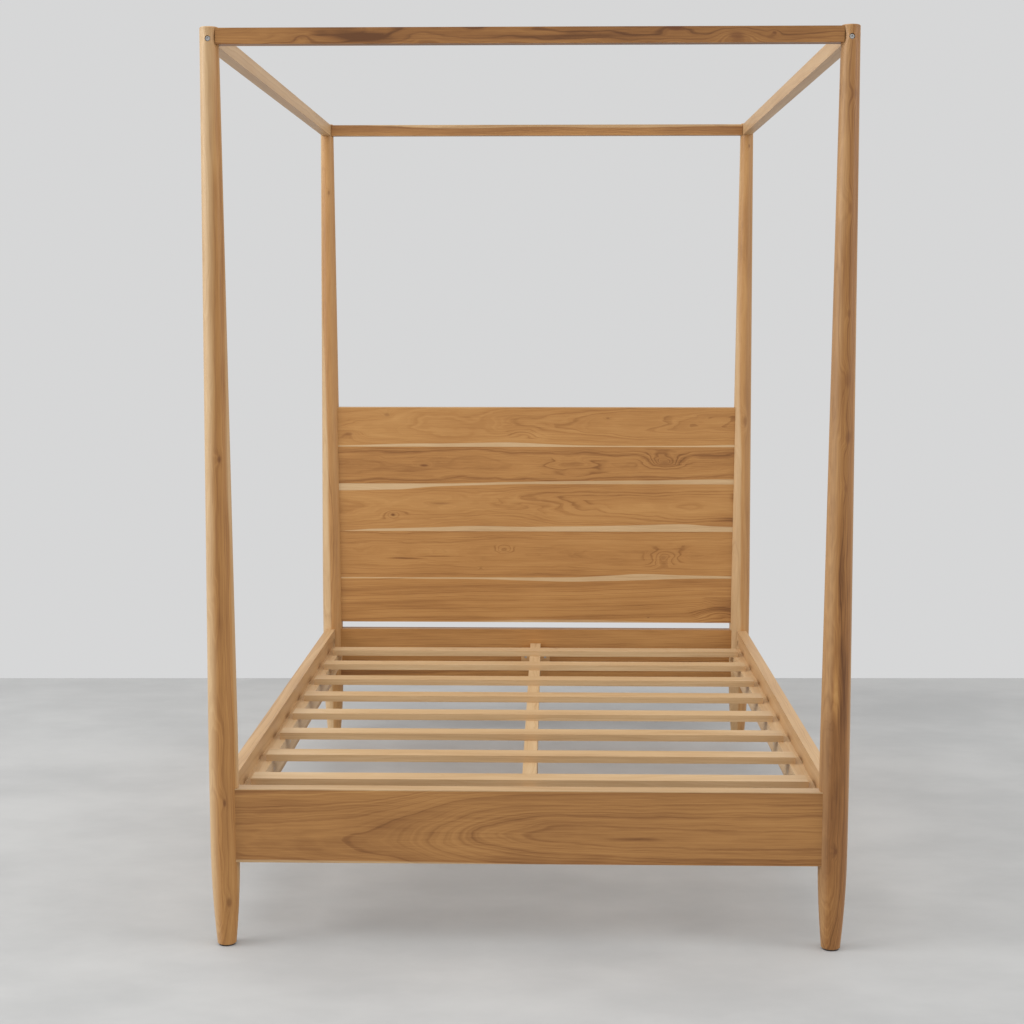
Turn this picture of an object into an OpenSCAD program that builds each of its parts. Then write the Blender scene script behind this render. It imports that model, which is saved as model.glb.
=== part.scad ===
// Four poster canopy bed: turned, tapered posts, a bolted canopy frame, a five-plank
// headboard and a slatted base. Millimetres, head of the bed at +Y, floor at Z = 0.

/* [Overall] */
// Distance between the post centres, across the bed
span_x = 1440; // [1200:20:1840]
// Distance between the post centres, along the bed
span_y = 2060; // [1900:20:2280]
// Overall height
overall_h = 2140; // [1780:20:2300]

/* [Posts] */
// Diameter of a post at its top
post_top_d = 43; // [43:1:52]
// Largest diameter of a post, at the bed rails
post_max_d = 69; // [57:1:80]
// Diameter of a post at the floor
post_foot_d = 44; // [40:1:54]
// Height over which the foot curves out to the full diameter
post_curve_h = 250; // [180:10:300]
// Height at which the long taper starts
post_taper_z = 520; // [450:10:700]

/* [Canopy] */
// Thickness of a canopy rail
canopy_t = 30; // [26:1:36]
// Height of a canopy rail
canopy_h = 36; // [36:1:44]
// How far the canopy rails sit below the post tops
canopy_drop = 3; // [1:1:8]

/* [Bed rails] */
// Height of the rail tops above the floor
rail_top = 385; // [360:5:420]
// Height of a rail board
rail_h = 178; // [170:2:190]
// Thickness of the foot rail and the head rail
end_rail_t = 38; // [34:1:40]
// Thickness of a side rail
side_rail_t = 32; // [30:1:38]
// How far a side rail sits outside the line of the post centres
side_rail_out = 6; // [3:1:7]

/* [Headboard] */
// Gap between the head rail and the headboard
headboard_gap = 25; // [12:1:40]
// Thickness of the headboard planks
headboard_t = 28; // [24:1:30]
// Width of the top plank
plank_1_w = 138; // [100:2:180]
// Width of the second plank
plank_2_w = 130; // [100:2:180]
// Width of the third plank
plank_3_w = 168; // [100:2:180]
// Width of the fourth plank
plank_4_w = 165; // [100:1:180]
// Width of the bottom plank
plank_5_w = 159; // [100:1:180]

/* [Slatted base] */
// Width of a slat
slat_w = 60; // [50:2:90]
// Thickness of a slat
slat_t = 18; // [16:1:22]
// How far the slat tops sit below the rail tops
slat_drop = 32; // [20:1:40]
// Gap between a slat's end and the side rail
slat_end_gap = 20; // [12:1:20]
// Width of the ledgers under the slat ends
ledger_w = 35; // [35:1:45]
// Height of the ledgers
ledger_h = 55; // [45:1:60]
// Width of the centre beam
beam_w = 36; // [32:1:45]
// Height of the centre beam
beam_h = 60; // [50:1:65]

/* [Fits] */
// Clearance all round a tenon, a housing or a wooden dowel
fit_gap = 0.15; // [0.1:0.05:0.3]
// Radial clearance of a metal part in its hole
bore_gap = 0.1; // [0.05:0.05:0.3]

/* [Hidden] */

$fn = 48;
TEAK = [0.70, 0.50, 0.31];
TEAK_PALE = [0.84, 0.71, 0.52];
BIRCH = [0.83, 0.73, 0.58];
STEEL = [0.62, 0.63, 0.65];
DARK = [0.12, 0.12, 0.12];

cut = 1;            // how far a cutter runs past an open face
ease = 2;           // eased edge at the ends of the turned parts
glide_t = 3;        // thickness of the glides under the feet
glide_inset = 3;    // how far a glide's edge sits inside the foot's edge
glide_pin_r = 2;
glide_pin_l = 12;
end_gap = 1;        // free length past the end of a stud or of the centre beam

// The foot's curve is an arc that meets the full diameter without a step.
curve_depth = (post_max_d - post_foot_d) / 2;
curve_r = (pow(post_curve_h, 2) + pow(curve_depth, 2)) / (2 * curve_depth);

// Bed rails: each seats on a flat cut into the round posts, measured from the post's axis.
rail_z0 = rail_top - rail_h;
rail_mid = rail_top - rail_h / 2;
side_x = span_x / 2 + side_rail_out;          // middle of a side rail
side_inner = side_x - side_rail_t / 2;
end_inner = span_y / 2 - end_rail_t / 2;      // inner face of the foot and head rails
seat_margin = 2.5;                            // how deep a seat's shallow edge is
function seat(r, half) = sqrt(r * r - half * half) - seat_margin;
post_rail_r = min(post_r(rail_z0), post_r(rail_top));
side_seat = seat(post_rail_r, side_rail_out + side_rail_t / 2);
end_seat = seat(post_rail_r, end_rail_t / 2);
tenon_t = 14;
tenon_l = 20;
tenon_shoulder = 24;                          // from a rail's edges to the tenon

// Half-moon fittings that pull the side rails on to the posts
stud_r = 4;
stud_in = 42;                                 // length of the stud in the post
stud_edge = 45;                               // from a rail's edges to its studs
pocket_r = 17.5;
pocket_in = 35;                               // from the rail's end to the pocket's axis
half_moon_w = 13;
half_moon_t = 8;
nut_af = 13;
nut_t = 6.5;
pocket_depth = side_rail_t / 2 + nut_af / 2 / cos(30) + end_gap;
stud_past_nut = 3;

// Canopy: a bolt, a washer, a barrel nut and a dowel at each rail end
canopy_mid = overall_h - canopy_drop - canopy_h / 2;
canopy_z0 = canopy_mid - canopy_h / 2;
bolt_offset = 6;                              // cross bolts above, side bolts below the middle
dowel_offset = -9;                            // the same for the dowels, on the other side
bolt_r = 3;
bolt_play = 0.3;                              // radial play of a bolt in the wood
bolt_l = 75;
bolt_head_r = 5;
bolt_head_h = 6;
bolt_key_af = 5;
bolt_key_depth = 3;
counterbore_r = 6.5;
counterbore_depth = 10;
washer_r = 6;
washer_t = 1.6;
bolt_seat = post_top_d / 2 - counterbore_depth;
barrel_r = 5;
barrel_l = 14;
bolt_past_nut = 8;                            // from the barrel nut's axis to the bolt's tip
barrel_in = bolt_l - bolt_past_nut - bolt_seat - washer_t;  // from the post's axis
canopy_dowel_r = 4;
canopy_dowel_l = 32;
canopy_dowel_in = 8;                          // from the post's axis to the dowel

// Headboard
PLANKS = [plank_1_w, plank_2_w, plank_3_w, plank_4_w, plank_5_w];
headboard_z0 = rail_top + headboard_gap;
headboard_h = planks_above(5);
headboard_top = headboard_z0 + headboard_h;
headboard_seat = seat(post_r(headboard_top), headboard_t / 2);
glue_gap = 0.1;                               // glue line between two planks
spline_t = 6;
spline_w = 20;
spline_inset = 50;                            // from a plank's end to the spline
board_dowel_r = 5;
board_dowel_l = 50;
board_dowel_post = 18;                        // length of a dowel in the post
board_dowel_in = headboard_seat - board_dowel_post;
function planks_above(i) = i == 0 ? 0 : PLANKS[i - 1] + planks_above(i - 1);
function plank_top(i) = headboard_top - planks_above(i);

// Slatted base
SLATS = 8;
slat_z0 = rail_top - slat_drop - slat_t;      // underside of the slats
slat_l = 2 * (side_inner - slat_end_gap);
slat_gap = (2 * end_inner - SLATS * slat_w) / (SLATS + 1);
function slat_y(i) = -end_inner + slat_gap + slat_w / 2 + (i - 1) * (slat_w + slat_gap);
ledger_in = 110;                              // from the post's axis to the ledger's end
ledger_l = span_y - 2 * ledger_in;
peg_r = 3;
peg_l = 24;
peg_depth = 12;                               // length of a peg in the slat
peg_x = (side_inner - ledger_w + slat_l / 2) / 2;
cleat_w = 100;
cleat_t = 30;
cleat_floor = 12;                             // wood below the beam
cleat_cheek = 45;                             // how far a cleat reaches up beside the beam
cleat_z0 = slat_z0 - beam_h - cleat_floor;
cleat_h = cleat_floor + cleat_cheek;
leg_top_r = beam_w / 2;
leg_foot_r = 14;
leg_stud_l = 60;

// Countersunk wood screws
screw_r = 2.25;
screw_head_r = 4.25;
screw_head_h = 3;
screw_l = 50;
LEDGER_SCREWS = 7;
screw_x = (cleat_w / 2 + beam_w / 2) / 2;     // a cleat's screws, either side of the beam

// ---- Shared shapes ----

function post_r(z) = z < post_curve_h
    ? post_max_d / 2 - curve_drop(post_curve_h - z)
    : post_max_d / 2 - (post_max_d - post_top_d) / 2
        * max(0, z - post_taper_z) / (overall_h - post_taper_z);
function curve_drop(h) = curve_r - sqrt(curve_r * curve_r - h * h);

module along_x(x0, x1, r) translate([x0, 0, 0]) rotate([0, 90, 0]) cylinder(h = x1 - x0, r = r);

module along_y(y0, y1, r) translate([0, y0, 0]) rotate([-90, 0, 0]) cylinder(h = y1 - y0, r = r);

// Turns what is drawn for the left side at the foot into the same thing at another corner.
module flip_x(on) {
    if (on) mirror([1, 0, 0]) children();
    else children();
}

module flip_y(on) {
    if (on) mirror([0, 1, 0]) children();
    else children();
}

// Places what is drawn round a post's axis, with the bed's inside at +X and +Y.
module at_corner(right, head)
    flip_x(right) flip_y(head) translate([-span_x / 2, -span_y / 2, 0]) children();

module at_corners() for (right = [false, true], head = [false, true]) at_corner(right, head) children();

module at_ends() for (head = [false, true]) flip_y(head) children();

// A countersunk screw that enters at x = 0 and runs along +X
module screw(grow) {
    along_x(0, screw_l + grow, screw_r + grow);
    rotate([0, 90, 0])
        cylinder(h = screw_head_h, r1 = screw_head_r + grow, r2 = screw_r + grow);
}

// ---- Posts ----

module turned_post() {
    steps = 14;
    z0 = glide_t + ease;
    rotate_extrude($fn = 96) polygon(concat(
        [[0, glide_t], [post_r(z0) - ease, glide_t]],
        [for (i = [0 : steps]) let (z = z0 + (post_curve_h - z0) * i / steps) [post_r(z), z]],
        [[post_max_d / 2, post_taper_z], [post_r(overall_h - ease), overall_h - ease],
         [post_r(overall_h - ease) - ease, overall_h], [0, overall_h]]));
}

// Seats, mortise and stud holes for the bed rails
module rail_cuts() {
    translate([-side_rail_out - side_rail_t / 2 - fit_gap, side_seat, rail_z0 - fit_gap])
        cube([side_rail_t + 2 * fit_gap, post_max_d, rail_h + 2 * fit_gap]);
    translate([end_seat, -end_rail_t / 2 - fit_gap, rail_z0 - fit_gap])
        cube([post_max_d, end_rail_t + 2 * fit_gap, rail_h + 2 * fit_gap]);
    tenon(fit_gap);
    for (z = stud_heights()) translate([-side_rail_out, 0, z])
        along_y(side_seat - stud_in, side_seat + cut, stud_r + bore_gap);
}

function stud_heights() = [rail_z0 + stud_edge, rail_top - stud_edge];

module tenon(grow)
    translate([end_seat - tenon_l - grow, -tenon_t / 2 - grow, rail_z0 + tenon_shoulder - grow])
        cube([tenon_l + grow + cut, tenon_t + 2 * grow, rail_h - 2 * tenon_shoulder + 2 * grow]);

// Counterbored bolt holes and dowel holes for the canopy, through the top of a post
module canopy_cuts() {
    translate([0, 0, canopy_mid + bolt_offset]) {
        along_x(-post_top_d, post_top_d, bolt_r + bolt_play);
        along_x(-post_top_d, -bolt_seat, counterbore_r);
    }
    translate([0, 0, canopy_mid - bolt_offset]) {
        along_y(-post_top_d, post_top_d, bolt_r + bolt_play);
        along_y(-post_top_d, -bolt_seat, counterbore_r);
    }
    canopy_dowel_pair(fit_gap);
}

module canopy_dowel_pair(grow) {
    x0 = canopy_dowel_in - grow;
    x1 = canopy_dowel_in + canopy_dowel_l + grow;
    translate([0, 0, canopy_mid + dowel_offset]) along_x(x0, x1, canopy_dowel_r + grow);
    translate([0, 0, canopy_mid - dowel_offset]) along_y(x0, x1, canopy_dowel_r + grow);
}

module glide_pin_hole(z)
    translate([0, 0, z - cut])
        cylinder(h = glide_pin_l + fit_gap + cut, r = glide_pin_r + fit_gap);

// Groove for the plank ends and holes for their dowels, in the posts at the head
module headboard_cuts() {
    translate([headboard_seat, -headboard_t / 2 - fit_gap, headboard_z0 - fit_gap])
        cube([post_max_d, headboard_t + 2 * fit_gap, headboard_h + 2 * fit_gap]);
    board_dowels(fit_gap);
}

module board_dowels(grow)
    for (i = [0 : 4]) translate([0, 0, (plank_top(i) + plank_top(i + 1)) / 2])
        along_x(board_dowel_in - grow, board_dowel_in + board_dowel_l + grow,
            board_dowel_r + grow);

module post(right, head) color(TEAK) at_corner(right, head) difference() {
    turned_post();
    rail_cuts();
    canopy_cuts();
    glide_pin_hole(glide_t);
    if (head) headboard_cuts();
}

module post_foot_left() post(false, false);
module post_foot_right() post(true, false);
module post_head_left() post(false, true);
module post_head_right() post(true, true);

// ---- Canopy ----

// The post tops as cutters, so that the rail ends fit round them
module post_top_cutters(z0, z1)
    at_corners() translate([0, 0, z0])
        cylinder(h = z1 - z0, r1 = post_r(z0) + fit_gap, r2 = post_r(z1) + fit_gap, $fn = 96);

module canopy_rail_cuts() {
    post_top_cutters(canopy_z0 - cut, overall_h + cut);
    at_corners() {
        translate([0, 0, canopy_mid + bolt_offset]) {
            along_x(0, barrel_in + bolt_past_nut + end_gap, bolt_r + bolt_play);
            barrel_nut_hole([barrel_in, 0]);
        }
        translate([0, 0, canopy_mid - bolt_offset]) {
            along_y(0, barrel_in + bolt_past_nut + end_gap, bolt_r + bolt_play);
            barrel_nut_hole([0, barrel_in]);
        }
        canopy_dowel_pair(fit_gap);
    }
}

// A hole for a barrel nut, drilled down from the top of a rail
module barrel_nut_hole(at)
    translate([at.x, at.y, -barrel_l / 2 - fit_gap]) cylinder(h = canopy_h, r = barrel_r + fit_gap);

// Half of the space round a post, split along the diagonal, as a cutter. Where two rails
// are wide enough to meet beside the post, it mitres them.
module mitre_cutter(turn)
    translate([0, 0, canopy_z0 - cut]) rotate([0, 0, 45])
        translate([0, turn ? fit_gap / 2 - 2 * canopy_t : -fit_gap / 2, 0])
            cube([3 * canopy_t, 2 * canopy_t, canopy_h + 2 * cut]);

module canopy_cross_rail(head) color(TEAK) difference() {
    flip_y(head) translate([-span_x / 2, -span_y / 2 - canopy_t / 2, canopy_z0])
        cube([span_x, canopy_t, canopy_h]);
    canopy_rail_cuts();
    at_corners() mitre_cutter(false);
}

module canopy_side_rail(right) color(TEAK) difference() {
    flip_x(right) translate([-span_x / 2 - canopy_t / 2, -span_y / 2, canopy_z0])
        cube([canopy_t, span_y, canopy_h]);
    canopy_rail_cuts();
    at_corners() mitre_cutter(true);
}

module canopy_rail_foot() canopy_cross_rail(false);
module canopy_rail_head() canopy_cross_rail(true);
module canopy_rail_left() canopy_side_rail(false);
module canopy_rail_right() canopy_side_rail(true);

module socket_bolt() difference() {
    union() {
        along_x(-bolt_head_h, 0, bolt_head_r);
        along_x(0, bolt_l, bolt_r);
    }
    rotate([0, 90, 0]) translate([0, 0, -bolt_head_h - cut])
        cylinder(h = bolt_key_depth + cut, d = bolt_key_af / cos(30), $fn = 6);
}

module canopy_cross_bolts() color(STEEL) at_corners()
    translate([-bolt_seat - washer_t, 0, canopy_mid + bolt_offset]) socket_bolt();

module canopy_side_bolts() color(STEEL) at_corners()
    translate([0, -bolt_seat - washer_t, canopy_mid - bolt_offset])
        rotate([0, 0, 90]) socket_bolt();

module washer() difference() {
    along_x(-washer_t, 0, washer_r);
    along_x(-washer_t - cut, cut, bolt_r + bore_gap);
}

module canopy_washers() color(STEEL) at_corners() {
    translate([-bolt_seat, 0, canopy_mid + bolt_offset]) washer();
    translate([0, -bolt_seat, canopy_mid - bolt_offset]) rotate([0, 0, 90]) washer();
}

module barrel_nut() difference() {
    translate([0, 0, -barrel_l / 2]) cylinder(h = barrel_l, r = barrel_r);
    along_x(-2 * barrel_r, 2 * barrel_r, bolt_r + bore_gap);
}

module canopy_barrel_nuts() color(STEEL) at_corners() {
    translate([barrel_in, 0, canopy_mid + bolt_offset]) barrel_nut();
    translate([0, barrel_in, canopy_mid - bolt_offset]) rotate([0, 0, 90]) barrel_nut();
}

module canopy_dowels() color(BIRCH) at_corners() canopy_dowel_pair(0);

// ---- Headboard ----

module plank(i) color(TEAK) difference() {
    z0 = plank_top(i) + (i < 5 ? glue_gap / 2 : 0);
    z1 = plank_top(i - 1) - (i > 1 ? glue_gap / 2 : 0);
    half = span_x / 2 - headboard_seat - fit_gap;
    translate([-half, span_y / 2 - headboard_t / 2, z0]) cube([2 * half, headboard_t, z1 - z0]);
    splines(fit_gap);
    for (right = [false, true]) at_corner(right, true) board_dowels(fit_gap);
}

module splines(grow) {
    half = span_x / 2 - headboard_seat - spline_inset + grow;
    for (i = [1 : 4])
        translate([-half, span_y / 2 - spline_t / 2 - grow, plank_top(i) - spline_w / 2 - grow])
            cube([2 * half, spline_t + 2 * grow, spline_w + 2 * grow]);
}

module headboard_plank_1() plank(1);
module headboard_plank_2() plank(2);
module headboard_plank_3() plank(3);
module headboard_plank_4() plank(4);
module headboard_plank_5() plank(5);
module headboard_splines() color(BIRCH) splines(0);
module headboard_dowels() color(BIRCH)
    for (right = [false, true]) at_corner(right, true) board_dowels(0);

// ---- Bed rails ----

module end_rail(head) color(TEAK) flip_y(head) difference() {
    union() {
        half = span_x / 2 - end_seat - fit_gap;
        translate([-half, -span_y / 2 - end_rail_t / 2, rail_z0]) cube([2 * half, end_rail_t, rail_h]);
        for (right = [false, true]) at_corner(right, false) tenon(0);
    }
    cleat_screw_pair(bore_gap);
}

module foot_rail() end_rail(false);
module head_rail() end_rail(true);

// Places what is drawn round a stud's axis, at each stud of one side rail end
module at_studs() translate([-side_rail_out, side_seat, 0]) for (z = stud_heights())
    translate([0, 0, z]) children();

module side_rail(right) color(TEAK) flip_x(right) difference() {
    half = span_y / 2 - side_seat - fit_gap;
    translate([-side_x - side_rail_t / 2, -half, rail_z0]) cube([side_rail_t, 2 * half, rail_h]);
    at_ends() at_corner(false, false) at_studs() {
        along_y(0, pocket_in, stud_r + bolt_play);
        translate([side_rail_t / 2 - pocket_depth, pocket_in, 0])
            along_x(0, pocket_depth + cut, pocket_r);
    }
    ledger_screw_row(bore_gap);
}

module side_rail_left() side_rail(false);
module side_rail_right() side_rail(true);

module rail_studs() color(STEEL) at_corners() at_studs()
    along_y(end_gap - stud_in, half_moon_y() + half_moon_t + nut_t + stud_past_nut, stud_r);

// Where a half-moon's round back touches the pocket's wall
function half_moon_y() = pocket_in - pocket_r + fit_gap;

module rail_half_moons() color(STEEL) at_corners() at_studs() difference() {
    intersection() {
        translate([0, pocket_in, 0]) along_x(-half_moon_w / 2, half_moon_w / 2, pocket_r - fit_gap);
        translate([-half_moon_w, half_moon_y() - cut, -pocket_r])
            cube([2 * half_moon_w, half_moon_t + cut, 2 * pocket_r]);
    }
    along_y(0, pocket_in, stud_r + bore_gap);
}

module rail_nuts() color(STEEL) at_corners() at_studs()
    translate([0, half_moon_y() + half_moon_t, 0]) difference() {
        rotate([-90, 0, 0]) cylinder(h = nut_t, d = nut_af / cos(30), $fn = 6);
        along_y(-cut, nut_t + cut, stud_r + bore_gap);
    }

// ---- Slatted base ----

module ledger_screw_row(grow)
    for (i = [0 : LEDGER_SCREWS - 1])
        translate([-side_inner + ledger_w, (i / (LEDGER_SCREWS - 1) - 0.5) * (ledger_l - ledger_in),
                slat_z0 - ledger_h / 2]) mirror([1, 0, 0]) screw(grow);

module slat_ledger(right) color(TEAK_PALE) flip_x(right) difference() {
    translate([-side_inner, -ledger_l / 2, slat_z0 - ledger_h]) cube([ledger_w, ledger_l, ledger_h]);
    ledger_screw_row(bore_gap);
    for (i = [1 : SLATS]) slat_peg(i, fit_gap);
}

module slat_ledger_left() slat_ledger(false);
module slat_ledger_right() slat_ledger(true);
module ledger_screws() color(STEEL) for (right = [false, true]) flip_x(right) ledger_screw_row(0);

module slat_peg(i, grow)
    translate([-peg_x, slat_y(i), slat_z0 + peg_depth - peg_l - grow])
        cylinder(h = peg_l + 2 * grow, r = peg_r + grow);

module slat_pegs() color(BIRCH) for (right = [false, true], i = [1 : SLATS])
    flip_x(right) slat_peg(i, 0);

module slat(i) color(TEAK_PALE) difference() {
    translate([-slat_l / 2, slat_y(i) - slat_w / 2, slat_z0]) cube([slat_l, slat_w, slat_t]);
    for (right = [false, true]) flip_x(right) slat_peg(i, fit_gap);
}

module slat_1() slat(1);
module slat_2() slat(2);
module slat_3() slat(3);
module slat_4() slat(4);
module slat_5() slat(5);
module slat_6() slat(6);
module slat_7() slat(7);
module slat_8() slat(8);

module centre_beam() color(TEAK_PALE) difference() {
    translate([-beam_w / 2, -end_inner + end_gap, slat_z0 - beam_h])
        cube([beam_w, 2 * (end_inner - end_gap), beam_h]);
    leg_stud(bore_gap);
}

module cleat_screw_pair(grow)
    for (x = [-screw_x, screw_x])
        translate([x, -end_inner + cleat_t, cleat_z0 + cleat_h / 2]) rotate([0, 0, -90]) screw(grow);

module beam_cleat(head) color(TEAK_PALE) difference() {
    flip_y(head) translate([-cleat_w / 2, -end_inner, cleat_z0]) cube([cleat_w, cleat_t, cleat_h]);
    flip_y(head) translate([-beam_w / 2 - fit_gap, -end_inner - cut, cleat_z0 + cleat_floor])
        cube([beam_w + 2 * fit_gap, cleat_t + 2 * cut, cleat_h]);
    flip_y(head) cleat_screw_pair(bore_gap);
}

module beam_cleat_foot() beam_cleat(false);
module beam_cleat_head() beam_cleat(true);
module cleat_screws() color(STEEL) at_ends() cleat_screw_pair(0);

module leg_stud(grow)
    translate([0, 0, slat_z0 - beam_h - leg_stud_l / 2 - grow])
        cylinder(h = leg_stud_l + 2 * grow, r = stud_r + grow);

module centre_leg() color(TEAK_PALE) difference() {
    translate([0, 0, glide_t])
        cylinder(h = slat_z0 - beam_h - glide_t, r1 = leg_foot_r, r2 = leg_top_r);
    leg_stud(bore_gap);
    glide_pin_hole(glide_t);
}

module centre_leg_stud() color(STEEL) leg_stud(0);

// ---- Glides ----

module glide(foot_r) {
    cylinder(h = glide_t, r = foot_r - glide_inset);
    cylinder(h = glide_t + glide_pin_l, r = glide_pin_r);
}

module foot_glides() color(DARK) at_corners() glide(post_r(glide_t));
module centre_leg_glide() color(DARK) glide(leg_foot_r);

post_foot_left();
post_foot_right();
post_head_left();
post_head_right();
canopy_rail_foot();
canopy_rail_head();
canopy_rail_left();
canopy_rail_right();
headboard_plank_1();
headboard_plank_2();
headboard_plank_3();
headboard_plank_4();
headboard_plank_5();
headboard_splines();
headboard_dowels();
foot_rail();
head_rail();
side_rail_left();
side_rail_right();
slat_ledger_left();
slat_ledger_right();
centre_beam();
beam_cleat_foot();
beam_cleat_head();
centre_leg();
centre_leg_stud();
slat_1();
slat_2();
slat_3();
slat_4();
slat_5();
slat_6();
slat_7();
slat_8();
slat_pegs();
canopy_side_bolts();
canopy_cross_bolts();
canopy_washers();
canopy_barrel_nuts();
canopy_dowels();
rail_studs();
rail_half_moons();
rail_nuts();
ledger_screws();
cleat_screws();
foot_glides();
centre_leg_glide();
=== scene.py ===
"""The look of a four poster canopy bed in a plain studio. Metres, with the bed's head at +Y."""

import math

import bpy
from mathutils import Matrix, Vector


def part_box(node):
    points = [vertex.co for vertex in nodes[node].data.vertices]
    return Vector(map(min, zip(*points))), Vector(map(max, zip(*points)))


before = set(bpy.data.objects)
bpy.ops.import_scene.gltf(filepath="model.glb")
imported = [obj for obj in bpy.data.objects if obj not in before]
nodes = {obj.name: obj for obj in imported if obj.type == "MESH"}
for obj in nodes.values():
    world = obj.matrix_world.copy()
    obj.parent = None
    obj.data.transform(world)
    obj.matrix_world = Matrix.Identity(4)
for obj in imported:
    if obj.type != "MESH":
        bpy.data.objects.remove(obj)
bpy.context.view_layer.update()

MM = 0.001

# ---------------------------------------------------------------- shader graph


class Graph:
    """A material and its nodes. A value is a number, a vector or another node's output."""

    def __init__(self, name):
        self.material = bpy.data.materials.new(name)
        self.material.use_nodes = True
        self.tree = self.material.node_tree
        self.tree.nodes.clear()

    def feed(self, socket, value):
        if isinstance(value, bpy.types.NodeSocket):
            self.tree.links.new(value, socket)
        else:
            socket.default_value = value

    def add(self, kind, inputs=None, output=0, **settings):
        node = self.tree.nodes.new(kind)
        for key, value in settings.items():
            setattr(node, key, value)
        for key, value in (inputs or {}).items():
            self.feed(node.inputs[key], value)
        return node.outputs[output]

    def math(self, operation, *values):
        return self.add("ShaderNodeMath", dict(enumerate(values)), operation=operation)

    def vector(self, operation, *values, output="Vector"):
        return self.add("ShaderNodeVectorMath", dict(enumerate(values)), output, operation=operation)

    def join(self, x, y, z):
        return self.add("ShaderNodeCombineXYZ", {0: x, 1: y, 2: z})

    def split(self, vector):
        node = self.tree.nodes.new("ShaderNodeSeparateXYZ")
        self.feed(node.inputs[0], vector)
        return list(node.outputs)

    def step(self, value, low, high):
        """Rises smoothly from 0 at low to 1 at high."""
        inputs = {"Value": value, "From Min": low, "From Max": high}
        return self.add("ShaderNodeMapRange", inputs, interpolation_type="SMOOTHSTEP")

    def noise(self, vector, detail=2.0, rough=0.5, output="Fac"):
        inputs = {"Vector": vector, "Scale": 1.0, "Detail": detail, "Roughness": rough}
        return self.add("ShaderNodeTexNoise", inputs, output)

    def noise_along(self, value, detail=1.0):
        """Noise of one number, between about 0.2 and 0.8."""
        inputs = {"W": value, "Scale": 1.0, "Detail": detail}
        return self.add("ShaderNodeTexNoise", inputs, "Fac", noise_dimensions="1D")

    def ramp(self, value, stops, ease="EASE"):
        """Colours, or grey values, at their places from 0 to 1."""
        node = self.tree.nodes.new("ShaderNodeValToRGB")
        self.feed(node.inputs[0], value)
        ramp = node.color_ramp
        ramp.interpolation = ease
        while len(ramp.elements) < len(stops):
            ramp.elements.new(1.0)
        for element, (place, colour) in zip(ramp.elements, stops):
            element.position = place
            element.color = (*colour, 1.0) if isinstance(colour, tuple) else (colour,) * 3 + (1.0,)
        return node.outputs[0]

    def blend(self, share, first, second):
        inputs = {"Factor": share, "A": first, "B": second}
        node = self.tree.nodes.new("ShaderNodeMix")
        node.data_type = "RGBA"
        for key, value in inputs.items():
            socket = next(s for s in node.inputs if s.name == key and (key == "Factor" or s.type == "RGBA"))
            self.feed(socket, (*value, 1.0) if isinstance(value, tuple) else value)
        return next(s for s in node.outputs if s.type == "RGBA")

    def finish(self, colour, roughness, height, depth, **fixed):
        """The Principled shader, with bumps of the given depth in metres."""
        bump = {"Height": height, "Distance": depth, "Strength": 1.0}
        shader = self.tree.nodes.new("ShaderNodeBsdfPrincipled")
        self.feed(shader.inputs["Base Color"], colour)
        self.feed(shader.inputs["Roughness"], roughness)
        self.feed(shader.inputs["Normal"], self.add("ShaderNodeBump", bump, "Normal"))
        for key, value in fixed.items():
            shader.inputs[key.replace("_", " ")].default_value = value
        output = self.tree.nodes.new("ShaderNodeOutputMaterial")
        self.tree.links.new(shader.outputs[0], output.inputs["Surface"])
        return self.material


# ------------------------------------------------------------------------ wood

# Heartwood and sapwood, from the darkest growth line to the palest wood between lines.
HEARTWOOD = [
    (0.00, (0.135, 0.052, 0.016)),
    (0.25, (0.270, 0.116, 0.034)),
    (0.50, (0.410, 0.196, 0.060)),
    (0.75, (0.500, 0.262, 0.088)),
    (1.00, (0.590, 0.350, 0.140)),
]
# The sapwood colours also paint the highlights on a few lit faces and sides.
SAPWOOD = [
    (0.00, (0.370, 0.210, 0.092)),
    (0.50, (0.545, 0.362, 0.190)),
    (1.00, (0.675, 0.500, 0.300)),
]
KNOT = (0.150, 0.052, 0.017)
RING_LINE = [(0.0, 0.15), (0.45, 0.0), (0.90, 1.0), (1.0, 0.15)]  # slow to darken, quick to clear
DEEPEST_SAP = 60.0 * MM
FARTHEST_PITH = 250.0 * MM


def board(g, node, axes, seed):
    """The place in a board from its centre, along its grain, across its face and through it, in metres;
    the same place moved to a part of the noise of its own; and half the board's size each way."""
    low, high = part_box(node)
    order = ["XYZ".index(axis) for axis in axes]
    centre, half = (low + high) / 2, (high - low) / 2
    here = g.split(g.vector("SUBTRACT", g.add("ShaderNodeTexCoord", output="Object"), centre))
    u, v, w = (here[i] for i in order)
    shifted = g.vector("ADD", g.join(u, v, w), Vector((3.7, 1.9, 2.3)) * seed)
    return u, v, w, shifted, [half[i] for i in order]


def profile(g, share, stops, most):
    """A smooth curve along the board through (share of its length, mm) stops within most metres of 0."""
    if len(stops) == 1:
        return stops[0][1] * MM
    greys = [(at, 0.5 + 0.5 * size * MM / most) for at, size in stops]
    return g.math("MULTIPLY_ADD", g.ramp(share, greys, "B_SPLINE"), 2 * most, -most)


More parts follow.
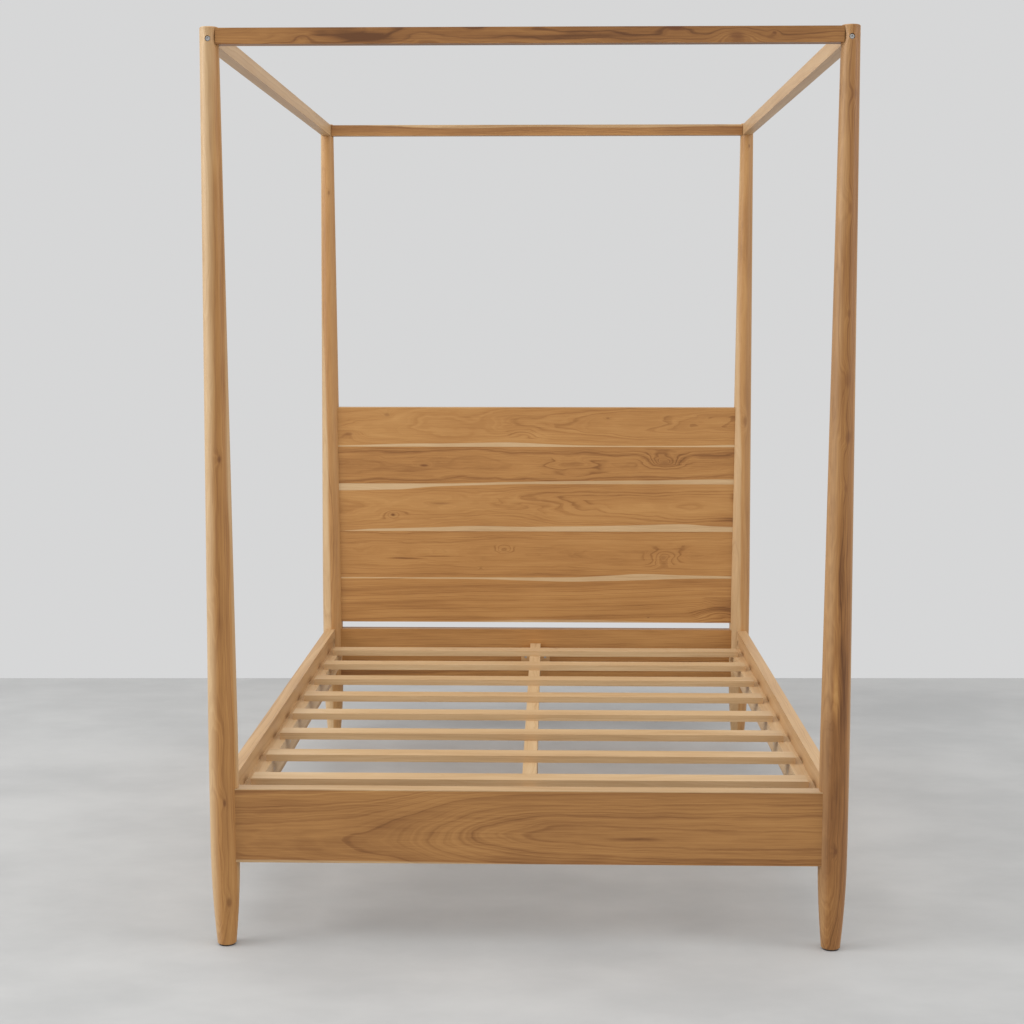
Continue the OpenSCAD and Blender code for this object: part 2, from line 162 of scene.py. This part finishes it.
def wood(name, node, axes, seed, pith, depth, sap_and_painted_highlights=(), knots=(), figures=(), patches=(), tone=0.0,
         bleach=0.0, wave=1.0, contrast=1.0, ring=5.0):
    """Teak sawn from a log whose pith runs beside the board.

    pith, depth: where the pith runs across and through the board, as profile stops.
    sap_and_painted_highlights: (angle in the section, softness in mm, strength, depth as profile stops) for
    each pale edge, mostly sapwood; on a few boards a painted highlight where light falls on a face or side.
    knots: (share of half the length, share of half the width, length, width in mm, darkness).
    figures: (share, share, length, width, height in mm) where the rings swell into an eye.
    patches: (share, share, length, width in mm, darkness) of darker or, below 0, paler wood.
    tone: paler above 0, darker below. bleach: how near to sapwood all of it is.
    wave: how much the grain wanders. contrast: how strong its bands and lines are.
    ring: one year's growth in mm."""
    g = Graph(name)
    u, v, w, place, half = board(g, node, axes, seed)
    share = g.math("MULTIPLY_ADD", u, 0.5 / half[0], 0.5)

    def wander(scale, reach):
        drift = g.noise(g.vector("MULTIPLY", place, scale), 2.0, 0.5, "Color")
        return g.vector("MULTIPLY", g.vector("SUBTRACT", drift, (0.5,) * 3), (2 * reach, reach, reach))

    ring *= MM
    lumps = g.noise(g.vector("MULTIPLY", place, (9.0, 24.0, 24.0)), 2.0, 0.5)
    ragged = g.math("MULTIPLY_ADD", lumps, 1.2, 0.4)
    slow = g.split(wander((1.3, 4.0, 4.0), 0.050 * wave))
    quick = g.split(wander((9.0, 34.0, 34.0), 0.009 * wave))
    across = g.math("ADD", g.math("ADD", v, slow[1]), quick[1])
    through = g.math("ADD", g.math("ADD", w, slow[2]), quick[2])

    # growth rings round the pith
    from_v = g.math("SUBTRACT", across, profile(g, share, pith, FARTHEST_PITH))
    from_w = g.math("SUBTRACT", through, profile(g, share, depth, FARTHEST_PITH))
    age = g.vector("LENGTH", g.join(from_v, from_w, 0.0), output="Value")

    def away(along_share, across_share, length, width):
        """0 at the middle of an ellipse, about 1 at its ragged edge."""
        along = g.math("SUBTRACT", g.math("ADD", u, quick[0]), along_share * half[0])
        aside = g.math("SUBTRACT", g.math("ADD", v, quick[1]), across_share * half[1])
        per_half = (2 / (length * MM), 2 / (width * MM), 0.0)
        place_in = g.vector("MULTIPLY", g.join(along, aside, 0.0), per_half)
        return g.math("MULTIPLY", g.vector("LENGTH", place_in, output="Value"), ragged)

    def swollen(age, near, height):
        """The age with height mm more where near is 1, so the rings bend round that place."""
        return g.math("MULTIPLY_ADD", g.math("POWER", near, 1.6), height * MM, age)

    figured = 0.0
    for along_share, across_share, length, width, height in figures:
        near = g.step(away(along_share, across_share, length, width), 1.0, 0.0)
        age = swollen(age, near, height)
        figured = g.math("MAXIMUM", figured, g.step(near, 0.0, 0.25))
    dark = 0.0
    for along_share, across_share, length, width, darkness in knots:
        distance = away(along_share, across_share, length, width)
        age = swollen(age, g.step(distance, 4.0, 0.0), 0.5 * width)
        core = g.math("MULTIPLY", g.step(distance, 1.1, 0.3), darkness)
        halo = g.math("MULTIPLY_ADD", g.step(distance, 3.0, 0.0), 0.22 * darkness, core)
        dark = g.math("MAXIMUM", dark, halo)

    # tone: broad bands, yearly lines, fine lines, fibres and slow clouds
    broad = g.noise_along(g.math("MULTIPLY_ADD", age, 1 / (3.2 * ring), 11.0 + seed), 2.0)
    strong = g.noise_along(g.math("MULTIPLY_ADD", age, 1 / (1.7 * ring), 5.0 - seed), 0.0)
    fine = g.noise_along(g.math("MULTIPLY", age, 1 / (0.3 * ring)), 1.0)
    year = g.math("FRACT", g.math("MULTIPLY_ADD", age, 1 / ring, g.math("MULTIPLY", broad, 1.6)))
    marked = g.math("MAXIMUM", g.step(strong, 0.35, 0.75), figured)
    line = g.math("MULTIPLY", g.ramp(year, RING_LINE), marked)
    fibre = g.noise(g.vector("MULTIPLY", place, (9.0, 340.0, 340.0)), 3.0, 0.6)
    cloud = g.noise(g.vector("MULTIPLY", place, (2.4, 12.0, 12.0)), 2.0, 0.5)
    parts = [(broad, 0.50 * contrast), (fine, 0.26 * contrast), (fibre, 0.42), (cloud, 0.45)]
    light = 0.55 + tone - sum(weight for _, weight in parts) / 2
    for part, weight in parts:
        light = g.math("MULTIPLY_ADD", part, weight, light)
    strength = g.math("MULTIPLY_ADD", figured, -0.06 * contrast, -0.20 * contrast)
    light = g.math("ADD", light, g.math("MULTIPLY", line, strength))
    for along_share, across_share, length, width, darkness in patches:
        inside = g.step(away(along_share, across_share, length, width), 1.0, 0.0)
        light = g.math("MULTIPLY_ADD", inside, -darkness, light)

    # sapwood beyond a wavy line along each edge that has some, and painted highlights drawn the same way on
    # a few lit faces and sides
    pale = bleach
    for angle, softness, strength, stops in sap_and_painted_highlights:
        toward_v, toward_w = math.cos(math.radians(angle)), math.sin(math.radians(angle))
        reach = abs(toward_v) * half[1] + abs(toward_w) * half[2]
        toward = g.vector("DOT_PRODUCT", g.join(v, w, 0.0), (toward_v, toward_w, 0.0), output="Value")
        deep = profile(g, share, stops, DEEPEST_SAP)
        wavy = g.math("MULTIPLY", deep, g.math("MULTIPLY_ADD", cloud, 0.8, 0.6))
        past = g.math("SUBTRACT", g.math("ADD", toward, wavy), reach)
        edge = g.math("MULTIPLY", g.step(past, -softness * MM, softness * MM), strength)
        pale = g.math("MAXIMUM", pale, edge)

    colour = g.blend(pale, g.ramp(light, HEARTWOOD, "LINEAR"), g.ramp(light, SAPWOOD, "LINEAR"))
    if knots:
        colour = g.blend(dark, colour, KNOT)
    roughness = g.math("MULTIPLY_ADD", fibre, 0.22, 0.34)
    height = g.math("MULTIPLY_ADD", line, -0.35, fibre)
    return g.finish(colour, roughness, height, 0.12 * MM, Specular_IOR_Level=0.32)


def level(size):
    """Profile stops of a straight line."""
    return [(0.0, size)]


# BLURRED, on the front left post, also softens a painted highlight from the left lamp.
SHARP, SOFT, BLURRED = 1.3, 9.0, 14.0  # how soft a sapwood edge is, in mm
# The axes of a board's grain, width and thickness
FACE_XZ, FACE_YZ, FACE_ZX, FACE_XY, FACE_YX = "XZY", "YZX", "ZXY", "XYZ", "YXZ"

WOOD = {
    "headboard_plank_1": dict(
        axes=FACE_XZ, pith=[(0, 0), (1, 25)], depth=[(0, 110), (0.3, 85), (0.7, 80), (1, 60)], tone=0.03,
        contrast=0.8,
        knots=[(-0.94, -0.35, 40, 18, 0.3), (-0.75, 0.62, 26, 16, 0.3), (0.36, 0.45, 18, 9, 0.4)],
        figures=[(0.60, 0.20, 420, 76, 9), (-0.05, -0.3, 180, 80, 8), (0.92, 0.30, 240, 60, 6)],
        patches=[(0.02, -0.45, 100, 50, -0.14), (0.92, 0.30, 180, 40, -0.15), (-0.96, -0.4, 90, 50, 0.12)],
        sap_and_painted_highlights=[
            (180, SHARP, 1.0, [
                (0.0, 2), (0.12, 8), (0.38, 17), (0.50, 12), (0.60, 4), (0.90, 3), (0.97, 8)
            ]),
            (0, SHARP, 0.5, [(0.0, 2)]),
        ],
    ),
    "headboard_plank_2": dict(
        axes=FACE_XZ, pith=[(0, -20), (1, 20)], depth=[(0, 80), (0.5, 75), (1, 95)], tone=-0.11,
        contrast=0.85,
        knots=[(-0.56, 0.0, 34, 11, 0.65), (0.645, 0.15, 40, 14, 0.3)],
        figures=[(0.64, 0.25, 260, 100, 20), (0.20, 0.0, 340, 80, 8)],
        sap_and_painted_highlights=[(180, SHARP, 1.0, [(0.30, 0), (0.42, 6), (0.62, 11), (0.80, 14), (1.0, 16)])],
    ),
    "headboard_plank_3": dict(
        axes=FACE_XZ, pith=[(0, 10), (1, 0)], depth=[(0, 90), (0.35, 88), (0.6, 70), (1, 66)], tone=-0.01,
        contrast=0.8,
        knots=[(-0.72, -0.30, 16, 10, 0.7), (-0.48, 0.16, 70, 8, 0.3)],
        figures=[(0.05, 0.15, 480, 84, 9), (-0.72, -0.3, 160, 60, 6)],
        patches=[(1.0, 0.45, 60, 60, 0.3), (1.0, -0.5, 200, 30, 0.25)],
        sap_and_painted_highlights=[
            (0, SHARP, 1.0, [(0.0, 21), (0.16, 21), (0.24, 9), (0.36, 5), (0.46, 0)]),
            (180, SHARP, 1.0, [
                (0.02, 0), (0.08, 8), (0.25, 13), (0.37, 23), (0.50, 14), (0.70, 20), (0.86, 34), (1.0, 18)
            ]),
        ],
    ),
    "headboard_plank_4": dict(
        axes=FACE_XZ, pith=[(0, 0), (1, 15)], depth=[(0, 85), (1, 78)], tone=-0.02, contrast=0.75,
        knots=[(-0.16, 0.22, 26, 14, 0.25), (-0.28, -0.6, 12, 6, 0.3), (0.645, -0.12, 20, 14, 0.25)],
        figures=[(0.66, 0.0, 230, 105, 14), (-0.16, 0.22, 120, 60, 6)],
        patches=[(-0.66, -0.18, 190, 12, 0.5), (-0.5, -0.08, 200, 9, 0.35)],
        sap_and_painted_highlights=[(180, SHARP, 1.0, [(0.60, 0), (0.72, 13), (0.78, 15), (0.86, 10), (1.0, 6)])],
    ),
    "headboard_plank_5": dict(
        axes=FACE_XZ, pith=[(0, 140), (1, 190)], depth=[(0, 150), (1, 150)], tone=-0.04, wave=0.6,
        figures=[(0.93, -0.5, 300, 130, 16)],
        knots=[(0.57, -0.76, 14, 6, 0.5)],
        patches=[(0.98, -0.45, 240, 110, 0.22), (-0.75, -0.25, 700, 50, 0.16)],
        sap_and_painted_highlights=[
            (0, SHARP, 1.0, [(0.0, 3), (0.38, 4), (0.54, 15), (0.64, 13), (0.78, 6), (0.90, 0)]),
            (180, 4.0, 0.7, [(0.30, 0), (0.50, 10), (0.66, 10), (0.80, 0)]),
        ],
    ),
    "foot_rail": dict(
        axes=FACE_XZ, pith=[(0, -25), (1, -20)], tone=-0.14, contrast=0.9, wave=0.8, ring=7.0,
        depth=[(0, 112), (0.20, 110), (0.30, 100), (0.42, 62), (0.55, 52), (1.0, 46)],
        patches=[(0.34, -0.30, 180, 14, 0.35), (0.4, -1.0, 1300, 60, 0.2), (-0.9, -0.15, 180, 24, 0.12)],
        # The pale band along the bottom edge is sapwood. The 2 mm band at angle 0 pales the whole top face:
        # a painted sheen from the overhead light on the top.
        sap_and_painted_highlights=[(180, 2.0, 0.9, [(0.0, 8), (0.30, 4), (0.55, 0)]), (0, 0.4, 1.0, level(2.0))],
    ),
    "head_rail": dict(
        axes=FACE_XZ, pith=[(0, 120), (1, 150)], depth=level(140), tone=-0.10, wave=0.6, contrast=0.8
    ),
    "side_rail_left": dict(axes=FACE_YZ, pith=[(0, 10), (1, 40)], depth=[(0, 100), (1, 130)], bleach=0.65),
    "side_rail_right": dict(
        axes=FACE_YZ, pith=[(0, -30), (1, 0)], depth=[(0, -90), (1, -120)], bleach=0.65
    ),
    "canopy_rail_foot": dict(
        axes=FACE_XZ, pith=[(0, 20), (1, 40)], depth=level(70), tone=-0.30,
        knots=[(0.66, -0.1, 44, 20, 0.5), (0.78, 0.1, 12, 8, 0.6), (-0.72, -0.3, 20, 10, 0.3),
               (0.47, 0.75, 50, 14, 0.8)],
        patches=[(-1.0, 0.0, 560, 200, -0.24), (-0.52, -0.1, 240, 34, 0.4), (-0.66, 0.2, 60, 20, 0.2),
                 (0.10, -0.2, 560, 22, 0.25), (1.0, 0.3, 300, 60, -0.08)],
    ),
    "canopy_rail_head": dict(
        axes=FACE_XZ, pith=[(0, 50), (1, 20)], depth=level(50), tone=-0.12, bleach=0.1,
        sap_and_painted_highlights=[(0, 2.0, 0.9, [(0.0, 0), (0.16, 3), (0.3, 16), (0.5, 6), (0.7, 14), (1.0, 3)])],
    ),
    "canopy_rail_left": dict(axes=FACE_YZ, pith=[(0, 60), (1, 50)], depth=level(60), bleach=0.7),
    "canopy_rail_right": dict(axes=FACE_YZ, pith=[(0, -50), (1, -60)], depth=level(50), bleach=0.7),
    "post_foot_left": dict(
        axes=FACE_ZX, pith=[(0, 45), (1, 60)], depth=level(60), tone=-0.04,
        knots=[(0.09, 0.25, 20, 9, 0.6), (-0.67, 0.2, 22, 9, 0.6), (-0.90, 0.35, 26, 12, 0.5),
               (-0.26, 0.0, 70, 14, 0.2)],
        patches=[(-0.35, 0.2, 500, 24, 0.12), (0.72, 0.3, 160, 30, -0.15)],
        sap_and_painted_highlights=[
            # The pale outer side (angle 180) is sapwood plus a painted highlight from the left lamp, made
            # stronger and softer than the sapwood alone.
            (180, BLURRED, 1.0, [(0.0, 16), (0.4, 22), (0.7, 34), (1.0, 42)]),
            (0, 4.0, 0.8, [(0.0, 2), (0.25, 3), (0.45, 5), (0.50, 11), (0.66, 11), (0.75, 7), (1.0, 12)]),
        ],
    ),
    "post_foot_right": dict(
        axes=FACE_ZX, pith=[(0, 50), (1, 60)], depth=level(60), tone=-0.20,
        knots=[(0.40, 0.2, 26, 10, 0.45), (0.26, 0.2, 40, 14, 0.35), (0.14, 0.3, 26, 14, 0.4),
               (0.03, 0.2, 30, 12, 0.35), (0.62, 0.1, 40, 14, 0.3), (0.86, 0.3, 26, 12, 0.3),
               (-0.77, 0.1, 16, 10, 0.45)],
        patches=[(-0.42, 0.35, 700, 40, 0.3), (-0.15, 0.0, 300, 18, 0.25), (-0.42, -0.15, 180, 18, -0.4)],
        sap_and_painted_highlights=[
            (180, SOFT, 0.35, [(0.0, 14), (0.25, 20), (0.68, 24), (1.0, 30)]),
            (0, 5.0, 0.35, [(0.0, 4), (0.5, 7), (1.0, 16)]),
        ],
    ),
    "post_head_left": dict(
        axes=FACE_ZX, pith=[(0, 50), (1, 40)], depth=level(60), bleach=0.15, contrast=0.7,
        knots=[(0.78, 0.2, 18, 9, 0.4)],
        sap_and_painted_highlights=[(180, 5.0, 0.9, [(0.0, 30), (0.35, 32), (0.62, 20), (0.75, 12), (1.0, 20)])],
    ),
    "post_head_right": dict(
        axes=FACE_ZX, pith=[(0, 50), (1, 40)], depth=level(60), tone=-0.03, bleach=0.15, contrast=0.7,
        knots=[(0.05, 0.2, 50, 16, 0.4), (0.93, 0.2, 16, 9, 0.5)],
        sap_and_painted_highlights=[(180, 6.0, 0.8, [(0.0, 34), (0.35, 36), (0.58, 22), (0.70, 12), (1.0, 16)])],
    ),
    "slat_ledger_left": dict(axes=FACE_YX, pith=level(50), depth=level(60), bleach=0.9, tone=0.12),
    "slat_ledger_right": dict(axes=FACE_YX, pith=level(-50), depth=level(60), bleach=0.9, tone=0.12),
    "centre_beam": dict(axes=FACE_YX, pith=level(40), depth=level(-60), tone=0.04, bleach=0.95),
    "centre_leg": dict(axes=FACE_ZX, pith=level(40), depth=level(50), bleach=0.4),
    "beam_cleat_foot": dict(axes=FACE_XZ, pith=level(40), depth=level(50), bleach=0.4),
    "beam_cleat_head": dict(axes=FACE_XZ, pith=level(40), depth=level(50), bleach=0.4),
}
SLATS = 8
for i in range(1, SLATS + 1):
    side = 1 if i % 2 else -1
    WOOD[f"slat_{i}"] = dict(
        axes=FACE_XY, pith=[(0, side * 20), (1, side * 40)], depth=[(0, -50 - 8 * i), (1, -60 - 6 * i)],
        bleach=0.95, tone=(-0.06, 0.06, 0.0)[i % 3],
    )
WOOD["slat_8"] |= dict(
    knots=[(-0.40, 0.0, 22, 9, 0.45), (-0.12, -0.2, 26, 10, 0.4), (0.10, 0.4, 16, 8, 0.4)]
)
WOOD["slat_5"] |= dict(patches=[(0.35, -0.4, 240, 20, 0.3)])
WOOD["slat_4"] |= dict(patches=[(0.10, -0.3, 300, 14, 0.25)])


def hidden_wood(name):
    """Plain hardwood of the dowels, pegs and splines."""
    g = Graph(name)
    place = g.add("ShaderNodeTexCoord", output="Object")
    fibre = g.noise(g.vector("MULTIPLY", place, (260.0, 260.0, 260.0)), 3.0, 0.6)
    colour = g.ramp(fibre, [(0.3, (0.46, 0.31, 0.16)), (0.7, (0.64, 0.47, 0.27))])
    return g.finish(colour, g.math("MULTIPLY_ADD", fibre, 0.2, 0.45), fibre, 0.05 * MM)


def zinc(name):
    """Zinc plated steel: fine scratches and faint clouds."""
    g = Graph(name)
    place = g.add("ShaderNodeTexCoord", output="Object")
    scratch = g.noise(g.vector("MULTIPLY", place, (900.0, 900.0, 3000.0)), 3.0, 0.7)
    cloud = g.noise(g.vector("MULTIPLY", place, (180.0,) * 3), 2.0, 0.5)
    colour = g.ramp(cloud, [(0.3, (0.40, 0.38, 0.36)), (0.7, (0.58, 0.56, 0.54))])
    return g.finish(colour, g.math("MULTIPLY_ADD", scratch, 0.3, 0.22), scratch, 0.01 * MM, Metallic=1.0)


def glide_plastic(name):
    """Dark moulded plastic with a fine spark texture."""
    g = Graph(name)
    place = g.add("ShaderNodeTexCoord", output="Object")
    grain = g.noise(g.vector("MULTIPLY", place, (1400.0,) * 3), 1.0, 0.5)
    colour = g.ramp(grain, [(0.3, (0.012, 0.012, 0.013)), (0.7, (0.022, 0.021, 0.020))])
    return g.finish(colour, g.math("MULTIPLY_ADD", grain, 0.2, 0.45), grain, 0.03 * MM)


OTHER = {
    hidden_wood: ["headboard_splines", "headboard_dowels", "slat_pegs", "canopy_dowels"],
    zinc: [
        "centre_leg_stud", "canopy_side_bolts", "canopy_cross_bolts", "canopy_washers",
        "canopy_barrel_nuts", "rail_studs", "rail_half_moons", "rail_nuts", "ledger_screws",
        "cleat_screws",
    ],
    glide_plastic: ["foot_glides", "centre_leg_glide"],
}


def dress(node, material):
    """Gives a CAD node one material."""
    mesh = nodes[node].data
    mesh.materials.clear()
    mesh.materials.append(material)


for seed, (node, look) in enumerate(WOOD.items(), 1):
    dress(node, wood(f"teak_{node}", node, seed=seed, **look))
for maker, members in OTHER.items():
    material = maker(maker.__name__)
    for node in members:
        dress(node, material)

# ---------------------------------------------------------------- eased edges

# Widths in mm, by the start of a node's name. The first that fits counts.
EASED = {"headboard_plank": 0.8, "foot_rail": 2.0, "head_rail": 2.0, "side_rail": 2.0, "canopy_rail": 1.2}
EASED |= {"slat_ledger": 1.5, "slat_": 2.0, "centre_beam": 1.5, "beam_cleat": 1.2}


def ease(obj, width):
    """Joins the CAD mesh along its sharp edges, then rounds them."""
    weld = obj.modifiers.new("weld", "WELD")
    weld.merge_threshold = 0.001 * MM
    bevel = obj.modifiers.new("eased_edges", "BEVEL")
    bevel.width = width * MM
    bevel.segments = 3
    bevel.limit_method = "ANGLE"
    bevel.angle_limit = math.radians(40)
    bevel.use_clamp_overlap = True


for node, obj in nodes.items():
    width = next((size for start, size in EASED.items() if node.startswith(start)), None)
    if width and node != "slat_pegs":
        ease(obj, width)

# --------------------------------------------------------------- studio, camera

CAMERA_PLACE = (0.052, -4.997, 1.509)
CAMERA_DOWN, CAMERA_LEFT = math.radians(6.70), math.radians(1.29)
LENS_MM, SENSOR_MM = 60.6, 36.0
WALL_Y = 1.98  # on the bed's centre line; the wall squarely faces the camera
WALL_H = 8.0
FLOOR_HALF = 12.0
WALL_COLOUR = (0.675, 0.677, 0.680, 1.0)
SKY_COLOUR, SKY_STRENGTH = (0.98, 0.99, 1.0, 1.0), 0.80


def sheet(name, corners, material):
    """A flat piece of the studio."""
    mesh = bpy.data.meshes.new(name)
    mesh.from_pydata(corners, [], [range(len(corners))])
    mesh.materials.append(material)
    obj = bpy.data.objects.new(name, mesh)
    bpy.context.scene.collection.objects.link(obj)


def floor_paint():
    """Pale grey, with the faint clouds of smooth concrete."""
    g = Graph("floor")
    place = g.add("ShaderNodeTexCoord", output="Object")
    cloud = g.noise(g.vector("MULTIPLY", place, (1.6, 2.4, 1.0)), 5.0, 0.6)
    colour = g.ramp(cloud, [(0.3, (0.425, 0.426, 0.422)), (0.7, (0.495, 0.495, 0.488))])
    return g.finish(colour, 0.75, cloud, 0.1 * MM)


def wall_paint():
    """Evenly lit pale grey, seen from its front only, so that the bed can be seen from behind."""
    g = Graph("wall")
    shown = g.tree.nodes.new("ShaderNodeEmission")
    shown.inputs["Color"].default_value = WALL_COLOUR
    clear = g.tree.nodes.new("ShaderNodeBsdfTransparent")
    mix = g.tree.nodes.new("ShaderNodeMixShader")
    g.feed(mix.inputs[0], g.add("ShaderNodeNewGeometry", output="Backfacing"))
    g.feed(mix.inputs[1], shown.outputs[0])
    g.feed(mix.inputs[2], clear.outputs[0])
    output = g.tree.nodes.new("ShaderNodeOutputMaterial")
    g.feed(output.inputs["Surface"], mix.outputs[0])
    return g.material


side = FLOOR_HALF
lean = side * math.sin(CAMERA_LEFT)
near, far = WALL_Y - lean, WALL_Y + lean
sheet("floor", [(-side, -side, 0), (side, -side, 0), (side, side, 0), (-side, side, 0)], floor_paint())
sheet("wall", [(-side, near, 0), (side, far, 0), (side, far, WALL_H), (-side, near, WALL_H)], wall_paint())

world = bpy.data.worlds.new("studio")
world.use_nodes = True
sky = world.node_tree.nodes["Background"]
sky.inputs["Color"].default_value = SKY_COLOUR
sky.inputs["Strength"].default_value = SKY_STRENGTH
bpy.context.scene.world = world


def softbox(name, place, target, size, power):
    """A white lamp of size metres by metres and power watts, aimed at target."""
    data = bpy.data.lights.new(name, "AREA")
    data.shape = "RECTANGLE"
    data.size, data.size_y = size
    data.energy = power
    lamp = bpy.data.objects.new(name, data)
    lamp.location = place
    lamp.rotation_mode = "QUATERNION"
    lamp.rotation_quaternion = (Vector(target) - Vector(place)).to_track_quat("-Z", "Y")
    bpy.context.scene.collection.objects.link(lamp)


softbox("overhead", (-0.8, -1.6, 6.4), (0, 0, 0.4), (6.0, 6.0), 130)
softbox("left", (-7.0, -2.2, 3.4), (0, -0.2, 0.9), (4.0, 4.0), 300)
softbox("right", (7.0, -2.6, 3.4), (0, -0.2, 0.9), (4.0, 4.0), 150)

camera_data = bpy.data.cameras.new("camera")
camera_data.lens = LENS_MM
camera_data.sensor_width = SENSOR_MM
camera = bpy.data.objects.new("camera", camera_data)
camera.location = CAMERA_PLACE
camera.rotation_euler = (math.pi / 2 - CAMERA_DOWN, 0.0, CAMERA_LEFT)
bpy.context.scene.collection.objects.link(camera)
bpy.context.scene.camera = camera
bpy.context.scene.view_settings.view_transform = "Standard"
